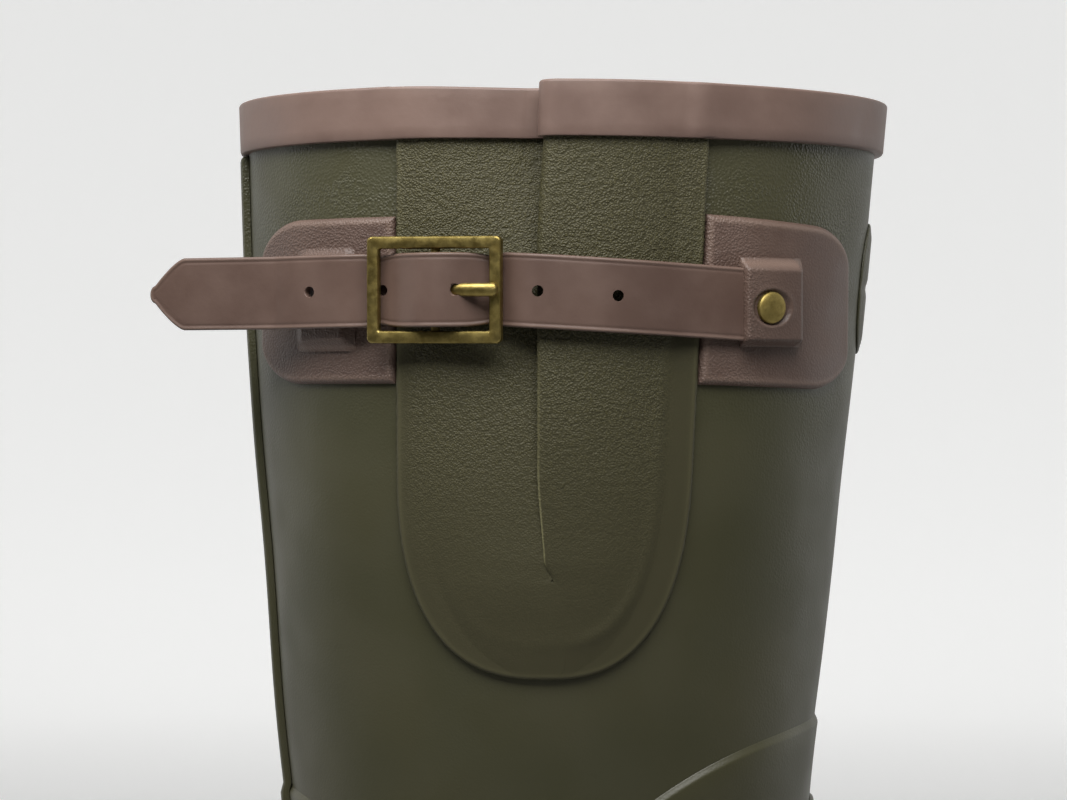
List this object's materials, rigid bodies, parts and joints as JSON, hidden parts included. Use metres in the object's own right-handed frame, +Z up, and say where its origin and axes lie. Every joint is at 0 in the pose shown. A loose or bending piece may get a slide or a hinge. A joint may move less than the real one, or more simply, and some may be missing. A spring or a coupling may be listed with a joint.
{
  "type": "rubber boot",
  "caption": "Tall right rubber country boot with a pleated side gusset, a buckled strap, a bound collar and a lugged sole.",
  "frame": {"origin": "middle of the heel's ground-contact face", "axes": "+X towards the toe, -Y towards the outer side with the buckle, +Z up the shaft"},
  "size_m": [0.3333, 0.1226, 0.4],
  "materials": {
    "upper_rubber": "matt olive rubber with a soft sheen",
    "gusset_rubber": "olive rubber with a pebbled grain",
    "trim_rubber": "brown rubber with a fine leather grain",
    "sole_rubber": "matt dark brown rubber",
    "buckle_brass": "antique brass, worn bright on the edges",
    "insole_fabric": "plain woven fabric"
  },
  "bodies": {
    "root": {"upper": "upper_rubber", "front_pad": "upper_rubber", "instep_guard": "upper_rubber", "gusset": "gusset_rubber", "top_binding": "trim_rubber", "back_strip": "upper_rubber", "front_patch": "trim_rubber", "rear_patch": "trim_rubber", "front_tab": "trim_rubber", "rear_keeper": "trim_rubber", "strap": "trim_rubber", "billet": "trim_rubber", "outsole": "sole_rubber", "insole": "insole_fabric", "buckle_frame": "buckle_brass", "buckle_prong": "buckle_brass", "front_rivet": "buckle_brass"}
  },
  "joints": []
}
